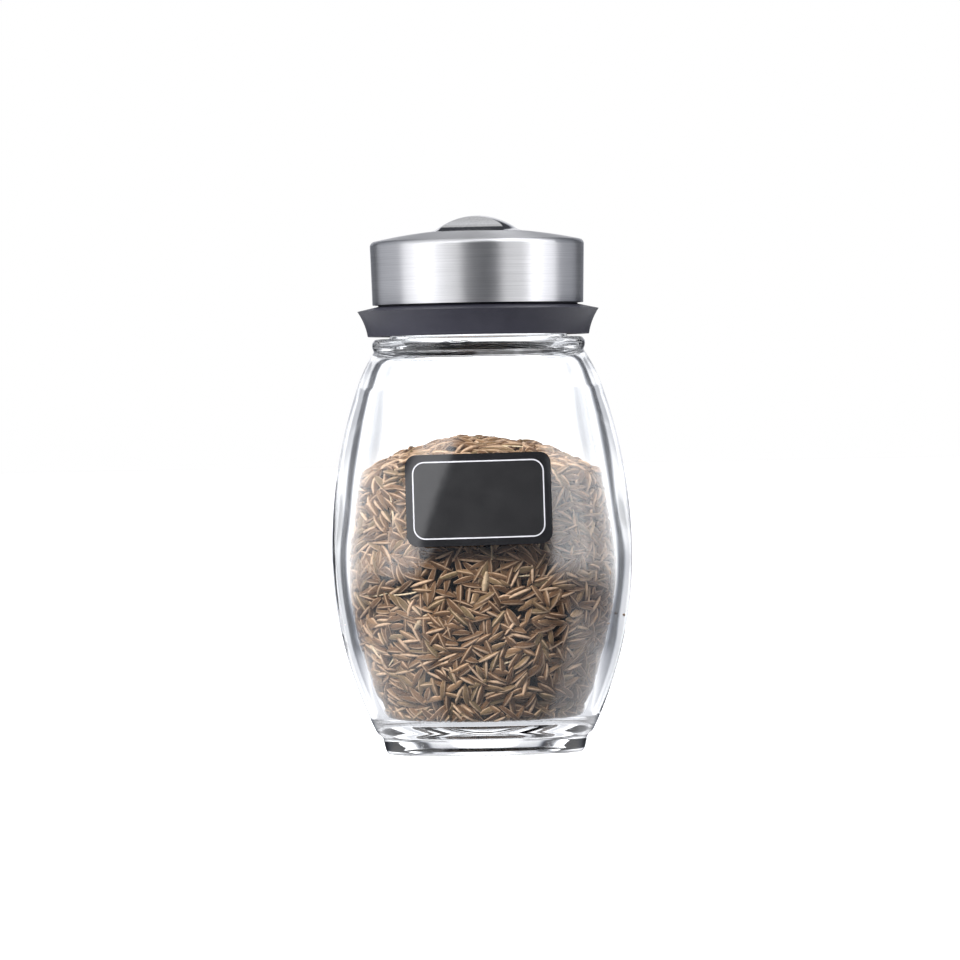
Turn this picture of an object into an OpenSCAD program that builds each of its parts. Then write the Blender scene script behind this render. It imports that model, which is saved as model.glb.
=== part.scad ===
// Spice jar: barrel-shaped glass, screw collar with a sifter disc, and a turning steel cap
// Origin at the centre of the foot, on the table; +Z up; the label faces -Y

/* [Glass] */
// Widest outside diameter of the barrel
jar_d = 58; // [54:0.5:62]
// Height of the widest point above the table
belly_z = 38.9; // [36:0.1:42]
// Radius of the outline's curve below the widest point
lower_curve_r = 79; // [72:1:90]
// Radius of the outline's curve above the widest point
upper_curve_r = 98.6; // [92:0.2:110]
// Height of the barrel, up to the bead
shoulder_z = 77.8; // [76:0.1:80]
// Height of the shoulder, where the outline curves in faster
shoulder_h = 6.8; // [5:0.1:9]
// Radius of the shoulder's curve
shoulder_curve_r = 30; // [26:1:36]
// Wall thickness of the glass
wall = 2.3; // [1.8:0.1:3]
// Height of the middle of the inside floor
floor_z = 5.6; // [4.6:0.1:7]
// Radius of the dished inside floor
floor_curve_r = 80; // [60:1:110]
// Rounding between the inside floor and the wall
floor_round_r = 5; // [3:0.5:7]

/* [Foot] */
// Width of the foot where it meets the table
foot_d = 38.6; // [36:0.2:39.4]
// Width of the foot where it meets the barrel
foot_top_d = 39.8; // [38:0.2:40.4]
// Height of the foot
foot_h = 3.6; // [3:0.1:4.4]
// Rounding of the foot's lower edge
foot_round_r = 0.9; // [0.5:0.1:1.2]
// Rounding of the barrel's lower edge above the foot
heel_round_r = 1; // [0.6:0.1:1.4]
// Width of the hollow in the underside
punt_d = 31; // [26:0.5:33]
// Depth of the hollow in the underside
punt_depth = 1.6; // [0.8:0.1:2.4]

/* [Neck] */
// Reach of the bead beyond the neck
bead_reach = 3.7; // [3.2:0.1:4]
// Height of the bead
bead_h = 2.5; // [2:0.1:3]
// Rounding of the bead's edges
bead_round_r = 0.75; // [0.5:0.05:0.9]
// Inside diameter of the mouth
mouth_d = 30; // [27:0.2:32]
// Thickness of the neck's glass behind the thread
neck_wall = 1.9; // [1.7:0.1:2.3]
// Least thickness of the glass where the neck rises from the bead
throat_wall = 1.4; // [1:0.1:1.5]
// Height of the neck above the bead
neck_h = 10.7; // [9.6:0.1:11.4]
// Rounding of the lip
lip_round_r = 0.7; // [0.4:0.1:0.8]

/* [Label] */
// Width of the sticker, measured straight across
label_w = 27.8; // [20:0.2:32]
// Height of the sticker
label_h = 17.5; // [12:0.5:24]
// Height of the sticker's middle above the table
label_z = 49.1; // [44:0.1:54]
// Corner radius of the sticker
label_corner_r = 2; // [1:0.1:4]
// Thickness of the sticker
label_t = 0.2; // [0.15:0.05:0.4]
// Film of glue behind the sticker
glue_t = 0.05; // [0.03:0.01:0.1]
// Tilt of the sticker on the glass, in degrees
label_tilt = -0.7; // [-3:0.1:3]

/* [Contents] */
// Height of the heap's top above the table
heap_z = 60.6; // [50:0.2:66]
// Radius of the heap's rounded top
heap_curve_r = 48; // [40:1:80]
// Gap between the seeds and the glass
fill_gap = 0.3; // [0.2:0.05:0.6]
// Length of a seed
seed_l = 5.2; // [4.6:0.1:6]
// Thickness of a seed
seed_d = 1.5; // [1.4:0.1:1.8]
// Depth of the hollows between the seeds of the outer layer
seed_relief = 1; // [0.7:0.1:1]
// Distance between neighbouring seeds
seed_pitch = 5.8; // [5.4:0.1:8]

/* [Collar] */
// Gap between the bead and the collar
collar_gap = 0.5; // [0.3:0.1:1]
// Reach of the collar's lower edge beyond the bead
collar_reach = 0.8; // [0.5:0.1:1.2]
// Height from the collar's lower edge to its lip
collar_lip_h = 4.9; // [4.4:0.1:5.2]
// Radius of the flared side's hollow curve
flare_r = 12; // [11:0.5:16]
// Lean of the flared side at the collar's lower edge, in degrees
flare_lean = 9; // [7:1:11]
// Rise of the collar's sloping top from the lip to the wall
collar_slope_h = 0.9; // [0.6:0.1:1.1]
// Height of the thread on the glass
thread_h = 1.1; // [0.8:0.1:1.2]
// Gap between the thread's crests and the collar's bore
thread_gap = 0.25; // [0.15:0.05:0.4]
// Thickness of the collar's upright wall
collar_wall = 1.05; // [0.9:0.05:1.15]
// Thickness of the ledge that carries the sifter disc
ledge_t = 1; // [0.8:0.1:1.4]
// Thickness of the seal ring
seal_t = 1; // [0.8:0.1:1.4]
// Clearance between the seal ring and the collar's bore
seal_gap = 0.25; // [0.15:0.05:0.4]

/* [Sifter disc] */
// Thickness of the sifter disc
sifter_t = 1.2; // [1:0.1:1.6]
// Clearance between the sifter disc and its seat
sifter_gap = 0.05; // [0.03:0.01:0.1]
// Width of the pour slot
slot_w = 5.5; // [4.8:0.1:5.7]
// Distance between the pour slot and the wall of the mouth
slot_margin = 0.7; // [0.5:0.1:1]
// Half the angle between the centres of the slot's round ends, in degrees
slot_half_angle = 26; // [20:1:28]
// Diameter of a small hole
small_hole_d = 2; // [1.6:0.1:2.3]
// Distance between the small holes of a row
small_pitch = 3.4; // [3:0.1:4]
// Diameter of a large hole
large_hole_d = 4.4; // [3.6:0.1:4.6]
// Distance between the large holes
large_pitch = 5; // [4.9:0.1:5.4]

/* [Dial] */
// Running gap between the dial and the sifter disc
dial_gap = 0.15; // [0.1:0.05:0.3]
// Thickness of the dial's plate
dial_t = 1.2; // [1:0.1:1.6]
// Thickness of the dial's rim and chute walls
dial_wall = 1; // [0.8:0.1:1.2]
// Clearance between the dial and the steel cover
dial_fit = 0.05; // [0.03:0.01:0.1]
// Radius of the plug that backs the grip from inside
plug_r = 6; // [4:0.5:7]
// Diameter of the snap pin
pin_d = 5; // [4:0.1:6]
// Radial running clearance around the snap pin
pin_gap = 0.06; // [0.04:0.01:0.1]
// Overhang of the snap pin's barb
barb = 0.5; // [0.3:0.05:0.7]
// Width of the slot through the snap pin
pin_slot = 1; // [0.8:0.1:1.4]

/* [Steel cover] */
// Reach of the band's upper edge beyond the collar's wall
band_reach = 1.4; // [1.3:0.05:1.7]
// Amount by which the band's lower edge is narrower
band_taper = 0.6; // [0.2:0.1:0.8]
// Height of the band, up to its rounded edge
band_h = 11.3; // [11:0.1:12]
// Gap between the band and the collar's sloping top
band_gap = 0.3; // [0.2:0.1:0.8]
// Thickness of the steel
steel_t = 0.5; // [0.4:0.05:0.6]
// Rounding of the band's upper edge
band_round_r = 1; // [0.8:0.1:1.4]
// Radius of the domed top
top_curve_r = 92; // [80:1:140]
// Rise of the grip above the middle of the domed top
grip_h = 2.6; // [2.4:0.1:3]
// Radius of the grip's arched outline
grip_curve_r = 13; // [12:0.5:14]
// Hollow rounding around the foot of the grip
grip_blend_r = 3; // [2:0.5:4]
// Amount by which the window in the steel is larger than the chute
window_gap = 0.2; // [0.1:0.05:0.4]
// Half the width of the grip's ridge at its top
ridge_half_w = 2.1; // [1.6:0.1:2.6]
// Radius of the finger scoops beside the ridge
scoop_r = 6; // [5:0.5:8]
// Depth of the finger scoops below the middle of the domed top
scoop_depth = 0.7; // [0.3:0.1:1]
// Turn of the grip at rest, in degrees
rest_turn = -13; // [-30:1:30]

/* [Hidden] */
$fn = 96;
big = 200;
lap = 1;
weld = 0.25;
bite = 0.004; // overlap of a rounding with what it is tangent to
root_h = 2;
least_round_r = 0.2;
golden_angle = 180 * (3 - sqrt(5));
seed_turn = 73; // change of direction from one seed to the next
seed_spread = 0.12; // share by which seeds are longer or shorter
seed_belly = 0.18; // share of a seed's length from its middle to where it starts to taper
seed_r = seed_d * 2 / 3; // from a seed's middle to a rib
core_sides = 40;
neck_d = mouth_d + 2 * neck_wall;
thread_d = neck_d + 2 * thread_h;
bead_d = neck_d + 2 * bead_reach;
collar_d = bead_d + 2 * collar_reach;
belly_r = jar_d / 2;
lower_c = [belly_r - lower_curve_r, belly_z];
upper_c = [belly_r - upper_curve_r, belly_z];
shoulder_start_z = shoulder_z - shoulder_h;
shoulder_angle = asin((shoulder_start_z - belly_z) / upper_curve_r);
shoulder_c = upper_c + (upper_curve_r - shoulder_curve_r) * [cos(shoulder_angle), sin(shoulder_angle)];
heel_c = [lower_c.x + sqrt((lower_curve_r - heel_round_r) ^ 2 - (belly_z - foot_h - heel_round_r) ^ 2),
    foot_h + heel_round_r];
punt_r = (pow(punt_d / 2, 2) + pow(punt_depth, 2)) / (2 * punt_depth);
bead_top_z = shoulder_z + bead_h;
lip_z = bead_top_z + neck_h;
collar_z = bead_top_z + collar_gap;
collar_bore_r = thread_d / 2 + thread_gap;
collar_wall_r = collar_bore_r + collar_wall;
band_d = 2 * (collar_wall_r + band_reach);
collar_lip_z = collar_z + collar_lip_h;
collar_top_z = collar_lip_z + collar_slope_h;
ledge_r = mouth_d / 2 + lip_round_r / 2;
ledge_z = lip_z + seal_t;
sifter_z = ledge_z + ledge_t;
sifter_top_z = sifter_z + sifter_t;
sifter_r = collar_bore_r - sifter_gap;
slot_out_r = mouth_d / 2 - slot_margin;
slot_in_r = slot_out_r - slot_w;
slot_mid_r = (slot_in_r + slot_out_r) / 2;
dial_z = sifter_top_z + dial_gap;
dial_plate_z = dial_z + dial_t;
band_z = collar_top_z + band_gap;
band_top_z = band_z + band_h;
top_z = band_top_z + top_curve_r - sqrt((top_curve_r - band_round_r) ^ 2 - (band_d / 2 - band_round_r) ^ 2);
dome_c = [0, top_z - top_curve_r];
grip_c_z = top_z + grip_h - grip_curve_r;
small_rings = [[slot_in_r + small_hole_d / 2, 2], [slot_out_r - small_hole_d / 2, 3]];

// Point where two circles meet, on the right of the line from the first centre to the second
function meet(c1, r1, c2, r2) =
    let (d = norm(c2 - c1))
    let (along = (d * d + r1 * r1 - r2 * r2) / (2 * d))
    let (across = sqrt(r1 * r1 - along * along))
    let (dir = (c2 - c1) / d)
    c1 + along * dir + across * [dir.y, -dir.x];

module disc(centre, r) {
    translate(centre)
        circle(r = r);
}

module slab(low, high) {
    translate([0, low])
        square([big, high - low]);
}

// Part of a circle between two heights, right of the axis
module slice(centre, r, low, high) {
    intersection() {
        disc(centre, r);
        slab(low, high);
    }
}

// Half outline of the barrel, drawn in by an amount; the tighter curves overlap into the wider one
module barrel(inset, low, high) {
    turn_z = belly_z + (upper_curve_r - inset) * sin(shoulder_angle);
    slice(lower_c, lower_curve_r - inset, low, belly_z + lap);
    slice(upper_c, upper_curve_r - inset, belly_z, turn_z);
    slice(shoulder_c, shoulder_curve_r - inset, turn_z - lap, high);
}

module heel() {
    dir = (heel_c - lower_c) / norm(heel_c - lower_c);
    edge = lower_c + lower_curve_r * dir;
    disc(heel_c, heel_round_r + bite);
    polygon([[0, foot_h], [heel_c.x, foot_h], heel_c, edge, [0, edge.y]]);
    barrel(0, edge.y, shoulder_z);
}

module foot() {
    r = foot_d / 2;
    disc([r - foot_round_r, foot_round_r], foot_round_r);
    polygon([[0, 0], [r - foot_round_r, 0], [r, foot_round_r], [foot_top_d / 2, foot_h], [0, foot_h]]);
}

module bead() {
    x = bead_d / 2 - bead_round_r;
    disc([x, shoulder_z + bead_round_r], bead_round_r);
    disc([x, bead_top_z - bead_round_r], bead_round_r);
    translate([0, shoulder_z])
        square([x, bead_h]);
    translate([0, shoulder_z + bead_round_r])
        square([bead_d / 2, bead_h - 2 * bead_round_r]);
}

module neck() {
    out_x = neck_d / 2 - lip_round_r;
    in_x = mouth_d / 2 + lip_round_r;
    disc([out_x, lip_z - lip_round_r], lip_round_r);
    translate([0, bead_top_z])
        square([neck_d / 2, neck_h - lip_round_r]);
    translate([0, bead_top_z])
        square([out_x, neck_h]);
}

// Half section of the space inside the barrel, drawn in by a further gap; a cone closes in on the neck
module cavity(gap) {
    inset = wall + gap;
    cone_z = bead_top_z + neck_d / 2 - throat_wall;
    floor_c = [0, floor_z + floor_curve_r];
    wall_r = lower_curve_r - inset;
    bowl_r = floor_curve_r - gap;
    round_c = meet(lower_c, wall_r - floor_round_r, floor_c, bowl_r - floor_round_r);
    on_floor = floor_c + bowl_r * (round_c - floor_c) / norm(round_c - floor_c);
    on_wall = lower_c + wall_r * (round_c - lower_c) / norm(round_c - lower_c);
    disc(round_c, floor_round_r + bite);
    difference() {
        intersection() {
            barrel(inset, 0, lip_z);
            disc(floor_c, bowl_r);
            polygon([[0, 0], [cone_z, 0], [0, cone_z]]);
        }
        polygon([on_floor, on_floor - [0, big], on_wall + [big, -big], on_wall + [big, 0], on_wall]);
    }
}

module mouth() {
    r = mouth_d / 2;
    translate([0, shoulder_start_z])
        square([r, lip_z - shoulder_start_z]);
    difference() {
        translate([0, lip_z - lip_round_r])
            square([r + lip_round_r, lip_round_r + lap]);
        disc([r + lip_round_r, lip_z - lip_round_r], lip_round_r);
    }
}

module glass_jar() {
    color([0.86, 0.93, 0.93, 0.35])
        rotate_extrude()
            difference() {
                union() {
                    foot();
                    heel();
                    bead();
                    neck();
                }
                disc([0, punt_depth - punt_r], punt_r);
                cavity(0);
                mouth();
                translate([-big, -big / 2])
                    square([big, 2 * big]);
            }
}

module rounded_plate(w, h, r) {
    square([w - 2 * r, h], center = true);
    square([w, h - 2 * r], center = true);
    for (x = [-1, 1], y = [-1, 1])
        disc([x * (w / 2 - r), y * (h / 2 - r)], r);
}

module label() {
    color([0.13, 0.13, 0.14])
        intersection() {
            translate([0, 0, label_z])
                rotate([90, label_tilt, 0])
                    linear_extrude(jar_d)
                        rounded_plate(label_w, label_h, label_corner_r);
            rotate_extrude()
                difference() {
                    barrel(-glue_t - label_t, foot_h, shoulder_z);
                    barrel(-glue_t, 0, shoulder_z + lap);
                }
        }
}

// One seed with three ribs, along Z, with a rib towards +X
module seed(length) {
    hull()
        rotate([0, 0, 180])
            rotate_extrude($fn = 3)
                polygon([[0, -length / 2], [seed_r, -seed_belly * length], [seed_r, seed_belly * length],
                    [0, length / 2]]);
}

// Lays one seed against a curved surface, where the curve's normal leans by an angle
module lay_seed(centre, curve_r, lean, around, turn) {
    r = curve_r - seed_r;
    length = seed_l * (1 + seed_spread * sin(around));
    rotate(around)
        translate([centre.x + r * cos(lean), 0, centre.y + r * sin(lean)])
            rotate([turn, -lean, 0])
                seed(length);
}

// Seeds on the heap's top or on the floor, in a sunflower's order
module round_patch(centre, curve_r, edge_r, side) {
    count = round(PI * pow(edge_r / seed_pitch, 2));
    for (i = [0:count - 1])
        lay_seed(centre, curve_r, side * acos(edge_r * sqrt((i + 0.5) / count) / curve_r), i * golden_angle,
            i * seed_turn);
}

// Seeds around the barrel's wall, climbing in the same order
module wall_patch(low, high) {
    inset = wall + fill_gap;
    count = round(2 * PI * (belly_r - inset) * (high - low) / pow(seed_pitch, 2));
    for (i = [0:count - 1]) {
        z = low + (high - low) * (i + 0.5) / count;
        below = z < belly_z;
        centre = below ? lower_c : upper_c;
        curve_r = (below ? lower_curve_r : upper_curve_r) - inset;
        lay_seed(centre, curve_r, asin((z - belly_z) / curve_r), i * golden_angle, i * seed_turn);
    }
}

// The seeds' mass as one body, with the hollows of its outer layer
module cumin_fill() {
    heap_c = [0, heap_z - heap_curve_r];
    inset = wall + fill_gap;
    rim = meet(heap_c, heap_curve_r, upper_c, upper_curve_r - inset);
    floor_edge_r = heel_c.x - inset - floor_round_r / 2;
    color([0.5, 0.37, 0.25]) {
        rotate_extrude($fn = core_sides)
            intersection() {
                cavity(fill_gap + seed_relief);
                disc(heap_c, heap_curve_r - seed_relief);
                slab(0, heap_z);
            }
        round_patch(heap_c, heap_curve_r, rim.x - seed_l / 2, 1);
        round_patch([0, floor_z + floor_curve_r], floor_curve_r - fill_gap, floor_edge_r, -1);
        wall_patch(floor_z + floor_round_r, rim.y - seed_d);
    }
}

module seal_ring() {
    color([0.93, 0.93, 0.9])
        translate([0, 0, lip_z])
            rotate_extrude()
                translate([ledge_r, 0])
                    square([collar_bore_r - seal_gap - ledge_r, seal_t]);
}

module collar() {
    bottom_r = collar_d / 2;
    flare_c = [bottom_r, collar_z] + flare_r * [cos(flare_lean), -sin(flare_lean)];
    lip_r = flare_c.x - sqrt(flare_r ^ 2 - (collar_lip_z - flare_c.y) ^ 2);
    color([0.2, 0.2, 0.23])
        rotate_extrude()
            difference() {
                union() {
                    polygon([[collar_bore_r, collar_z], [bottom_r, collar_z], [lip_r + lap, collar_z],
                        [lip_r, collar_lip_z], [collar_wall_r, collar_top_z], [collar_bore_r, collar_top_z]]);
                    translate([collar_bore_r, collar_z])
                        square([collar_wall, sifter_top_z - collar_z]);
                    translate([ledge_r, ledge_z])
                        square([collar_wall_r - ledge_r, ledge_t]);
                }
                disc(flare_c, flare_r);
            }
}

module slot_sector(grow) {
    w = slot_w + 2 * grow;
    wedge_r = 2 * slot_out_r;
    intersection() {
        difference() {
            circle(r = slot_mid_r + w / 2);
            circle(r = slot_mid_r - w / 2);
        }
        polygon([[0, 0], wedge_r * [sin(slot_half_angle), cos(slot_half_angle)],
            wedge_r * [-sin(slot_half_angle), cos(slot_half_angle)]]);
    }
}

module slot_ends(grow) {
    for (side = [-1, 1])
        disc(slot_mid_r * [side * sin(slot_half_angle), cos(slot_half_angle)], slot_w / 2 + grow + bite);
}

// Cuts the pour slot's shape through its children, above a height
module slotted(grow, low_z) {
    difference() {
        difference() {
            children();
            translate([0, 0, low_z])
                linear_extrude(big)
                    slot_sector(grow);
        }
        translate([0, 0, low_z])
            linear_extrude(big)
                slot_ends(grow);
    }
}

module small_holes() {
    for (ring = small_rings, i = [-1, 0, 1])
        rotate(i * small_pitch * 180 / (PI * ring[0]))
            disc([0, ring[0]], small_hole_d / 2);
}

module large_holes() {
    for (i = [-1, 0, 1])
        rotate(i * large_pitch * 180 / (PI * slot_mid_r))
            disc([0, slot_mid_r], large_hole_d / 2);
}

// Closed zone at the window's rest place, then small holes, large holes and the pour slot every 90 degrees
module sifter_disc() {
    color([0.16, 0.16, 0.18])
        rotate(rest_turn)
            translate([0, 0, sifter_z])
                linear_extrude(sifter_t)
                    difference() {
                        circle(r = sifter_r);
                        circle(r = pin_d / 2 + pin_gap);
                        rotate(90)
                            small_holes();
                        rotate(180)
                            large_holes();
                        rotate(270) {
                            slot_sector(0);
                            slot_ends(0);
                        }
                    }
}

// Half section of the solid cap without its grip, drawn in by an amount
module cap_section(inset) {
    r = band_d / 2 - inset;
    low_z = band_z - (inset > 0 ? lap : 0);
    low_r = r - band_taper / 2 * (band_top_z - low_z) / band_h;
    corner = max(band_round_r - inset, least_round_r);
    corner_c = [r - corner, band_top_z];
    dome_r = top_curve_r - inset;
    on_dome = dome_c + dome_r * (corner_c - dome_c) / norm(corner_c - dome_c);
    polygon([[0, low_z], [low_r, low_z], [r, band_top_z], corner_c, on_dome, [0, on_dome.y]]);
    disc(corner_c, corner + bite);
    intersection() {
        disc(dome_c, dome_r);
        translate([0, band_top_z])
            square([on_dome.x, big]);
    }
}

// Arched grip with a finger scoop on each side, drawn in by an amount
module grip_form(inset) {
    ball_r = grip_curve_r - inset;
    ball_c = [0, grip_c_z];
    dome_r = top_curve_r - inset;
    blend_r = grip_blend_r + inset;
    blend_c = meet(dome_c, dome_r + blend_r, ball_c, ball_r + blend_r);
    scoop_low_z = top_z - scoop_depth;
    scoop_y = ridge_half_w + sqrt(scoop_r ^ 2 - (scoop_r - grip_h - scoop_depth) ^ 2);
    on_ball = ball_c + ball_r * (blend_c - ball_c) / norm(blend_c - ball_c);
    on_dome = dome_c + dome_r * (blend_c - dome_c) / norm(blend_c - dome_c);
    difference() {
        rotate_extrude() {
            slice(ball_c, ball_r, on_ball.y - weld, big);
            difference() {
                polygon([[0, on_dome.y - root_h], on_dome - [0, root_h], on_dome, blend_c, on_ball,
                    [0, on_ball.y]]);
                disc(blend_c, blend_r + bite);
            }
        }
        for (side = [-1, 1])
            translate([0, side * scoop_y, scoop_low_z + scoop_r])
                rotate([0, 90, 0])
                    cylinder(h = 4 * grip_curve_r, r = scoop_r + inset, center = true);
    }
}

module steel_cover() {
    color([0.78, 0.79, 0.8])
        rotate(rest_turn)
            slotted(window_gap, dial_plate_z)
                difference() {
                    union() {
                        rotate_extrude()
                            cap_section(0);
                        grip_form(0);
                    }
                    rotate_extrude()
                        cap_section(steel_t);
                    grip_form(steel_t);
                }
}

module snap_pin() {
    low_z = sifter_z - dial_gap;
    barb_h = 3 * barb;
    r = pin_d / 2;
    difference() {
        rotate_extrude()
            polygon([[0, low_z - barb_h], [r - barb / 2, low_z - barb_h], [r + barb, low_z - barb / 2],
                [r + barb, low_z], [r, low_z], [r, dial_z + weld], [0, dial_z + weld]]);
        translate([-r - lap, -pin_slot / 2, low_z - barb_h - lap])
            cube([pin_d + 2 * lap, pin_slot, barb_h + sifter_t]);
    }
}

// Plan of the walls that reach from the dial's plate up to the steel
module dial_walls(rim_r, boss_r) {
    difference() {
        circle(r = band_d / 2);
        circle(r = rim_r);
    }
    circle(r = boss_r);
    slot_sector(dial_wall);
    slot_ends(dial_wall);
}

module dial() {
    taper = band_taper / 2 * (band_top_z - dial_z) / band_h;
    rim_r = band_d / 2 - steel_t - dial_fit - taper - dial_wall;
    boss_r = slot_in_r - dial_wall / 2;
    core_r = pin_d / 2 + dial_wall;
    core_z = band_top_z + dial_wall / 2;
    color([0.16, 0.16, 0.18])
        rotate(rest_turn) {
            difference() {
                slotted(0, dial_z - lap)
                    union() {
                        translate([0, 0, dial_z])
                            cylinder(h = dial_t, r = rim_r + dial_wall / 2);
                        intersection() {
                            rotate_extrude()
                                cap_section(steel_t + dial_fit);
                            translate([0, 0, dial_z])
                                linear_extrude(big)
                                    dial_walls(rim_r, boss_r);
                        }
                        intersection() {
                            grip_form(steel_t + dial_fit);
                            cylinder(h = big, r = plug_r);
                        }
                    }
                translate([0, 0, dial_z - lap])
                    difference() {
                        cylinder(h = core_z - dial_z + lap, r = boss_r - dial_wall);
                        cylinder(h = big, r = core_r);
                    }
            }
            snap_pin();
        }
}

glass_jar();
label();
cumin_fill();
seal_ring();
collar();
sifter_disc();
dial();
steel_cover();
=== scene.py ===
import math

import bmesh
import bpy
import numpy as np
from mathutils import Matrix, Vector, noise


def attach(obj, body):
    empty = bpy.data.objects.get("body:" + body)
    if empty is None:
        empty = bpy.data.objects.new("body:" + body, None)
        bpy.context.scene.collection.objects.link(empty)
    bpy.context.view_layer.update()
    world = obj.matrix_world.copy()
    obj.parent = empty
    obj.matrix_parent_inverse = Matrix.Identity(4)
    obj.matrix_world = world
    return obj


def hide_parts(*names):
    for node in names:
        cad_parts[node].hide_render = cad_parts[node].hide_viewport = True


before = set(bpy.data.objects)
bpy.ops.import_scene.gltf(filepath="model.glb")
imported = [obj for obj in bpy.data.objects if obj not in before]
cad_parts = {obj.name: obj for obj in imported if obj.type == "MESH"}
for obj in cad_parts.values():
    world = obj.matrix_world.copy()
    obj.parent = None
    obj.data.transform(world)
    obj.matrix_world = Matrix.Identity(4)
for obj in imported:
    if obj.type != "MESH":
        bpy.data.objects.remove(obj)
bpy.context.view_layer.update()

mm = 0.001
print("frame loaded:", ", ".join(sorted(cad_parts)))


# small helpers: nodes, outlines and pieces

def newMaterial(name):
    material = bpy.data.materials.new(name)
    material.use_nodes = True
    tree = material.node_tree
    return material, tree, tree.nodes["Principled BSDF"]


def addNode(tree, kind, inputs=None, **settings):
    node = tree.nodes.new("ShaderNode" + kind)
    for key, value in settings.items():
        setattr(node, key, value)
    for key, value in (inputs or {}).items():
        if isinstance(value, bpy.types.NodeSocket):
            tree.links.new(value, node.inputs[key])
        else:
            node.inputs[key].default_value = value
    return node


def mathNode(tree, operation, a, b=0.0, c=0.0):
    return addNode(tree, "Math", {0: a, 1: b, 2: c}, operation=operation).outputs[0]


def objectPlace(tree, scale=(1, 1, 1), turn=(0, 0, 0), move=(0, 0, 0)):
    coords = addNode(tree, "TexCoord").outputs["Object"]
    return addNode(tree, "Mapping", {"Vector": coords, "Scale": scale, "Rotation": turn, "Location": move}).outputs[0]


def noiseNode(tree, place, scale, detail=3.0, roughness=0.55):
    return addNode(tree, "TexNoise", {"Vector": place, "Scale": scale, "Detail": detail, "Roughness": roughness}).outputs[0]


def rampNode(tree, factor, stops):
    ramp = addNode(tree, "ValToRGB", {"Fac": factor})
    elements = ramp.color_ramp.elements
    while len(elements) < len(stops):
        elements.new(0.5)
    for element, (place, colour) in zip(elements, stops):
        element.position = place
        element.color = (*colour, 1) if len(colour) == 3 else colour
    return ramp.outputs["Color"]


def rangeNode(tree, value, low, high, newLow, newHigh):
    return addNode(tree, "MapRange", {0: value, 1: low, 2: high, 3: newLow, 4: newHigh}).outputs[0]


def mixColour(tree, factor, a, b, blend="MIX"):
    node = addNode(tree, "Mix", data_type="RGBA", blend_type=blend)
    for place, value in ((0, factor), (6, a), (7, b)):
        if isinstance(value, bpy.types.NodeSocket):
            tree.links.new(value, node.inputs[place])
        else:
            node.inputs[place].default_value = value if place == 0 else (*value, 1)
    return node.outputs[2]


def bumpNode(tree, height, strength, distance):
    return addNode(tree, "Bump", {"Height": height, "Strength": strength, "Distance": distance}).outputs[0]


def arc(centre, radius, start, end, count):
    turns = np.radians(np.linspace(start, end, count))
    return [(centre[0] + radius * math.cos(t), centre[1] + radius * math.sin(t)) for t in turns]


def soften(points, step, passes):
    points = np.array(points, float)
    length = np.r_[0, np.cumsum(np.linalg.norm(np.diff(points, axis=0), axis=1))]
    places = np.linspace(0, length[-1], max(int(length[-1] / step), 2))
    even = np.c_[np.interp(places, length, points[:, 0]), np.interp(places, length, points[:, 1])]
    for _ in range(passes):
        even[1:-1] = even[1:-1] / 2 + (even[:-2] + even[2:]) / 4
    return even


def thin(points, turn=3.0, longest=2.2, keep=lambda p: False):
    kept = [points[0]]
    for before, point, after in zip(points[:-2], points[1:-1], points[2:]):
        last = kept[-1]
        a, b = np.array(point) - last, np.array(after) - point
        bend = abs(math.degrees(math.atan2(a[0] * b[1] - a[1] * b[0], a @ b)))
        if bend > turn or np.linalg.norm(np.array(after) - last) > longest or keep(point):
            kept.append(point)
    return kept + [points[-1]]


def spun(points, steps, closed=False):
    bm = bmesh.new()
    chain = [bm.verts.new((x * mm, 0, z * mm)) for x, z in points]
    edges = [bm.edges.new(pair) for pair in zip(chain[:-1], chain[1:])]
    if closed:
        edges.append(bm.edges.new((chain[-1], chain[0])))
    bmesh.ops.spin(bm, geom=chain + edges, cent=(0, 0, 0), axis=(0, 0, 1), angle=2 * math.pi, steps=steps,
                   use_merge=True)
    bmesh.ops.remove_doubles(bm, verts=bm.verts, dist=1e-6)
    bmesh.ops.recalc_face_normals(bm, faces=bm.faces)
    return bm


def makePiece(name, bm, material, body, sharp=40):
    mesh = bpy.data.meshes.new(name)
    bm.to_mesh(mesh)
    bm.free()
    mesh.materials.append(material)
    piece = bpy.data.objects.new(name, mesh)
    bpy.context.scene.collection.objects.link(piece)
    for polygon in mesh.polygons:
        polygon.use_smooth = True
    mesh.set_sharp_from_angle(angle=math.radians(sharp))
    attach(piece, body)
    return piece


# the barrel's curves, shared by the glass, the label and the seeds

barrelShape = {"radius": 29.0, "belly": 38.9, "lower": 79.0, "upper": 98.6, "turnZ": 71.0, "shoulder": 30.0,
               "shoulderTop": 77.8, "wall": 3.0, "bendZ": 42.5, "wallTop": (20.7, 69.6), "floorZ": 4.5,
               "floorCurve": 80.0, "floorRound": 3.0}
lowerC = np.array([barrelShape["radius"] - barrelShape["lower"], barrelShape["belly"]])
upperC = np.array([barrelShape["radius"] - barrelShape["upper"], barrelShape["belly"]])
shoulderTurn = math.asin((barrelShape["turnZ"] - barrelShape["belly"]) / barrelShape["upper"])
shoulderC = upperC + (barrelShape["upper"] - barrelShape["shoulder"]) * np.array(
    [math.cos(shoulderTurn), math.sin(shoulderTurn)])
floorC = np.array([0, barrelShape["floorZ"] + barrelShape["floorCurve"]])


def barrelRadius(z, inset=0.0):
    if z < barrelShape["belly"]:
        return lowerC[0] + math.sqrt((barrelShape["lower"] - inset) ** 2 - (z - lowerC[1]) ** 2)
    return upperC[0] + math.sqrt((barrelShape["upper"] - inset) ** 2 - (z - upperC[1]) ** 2)


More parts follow.
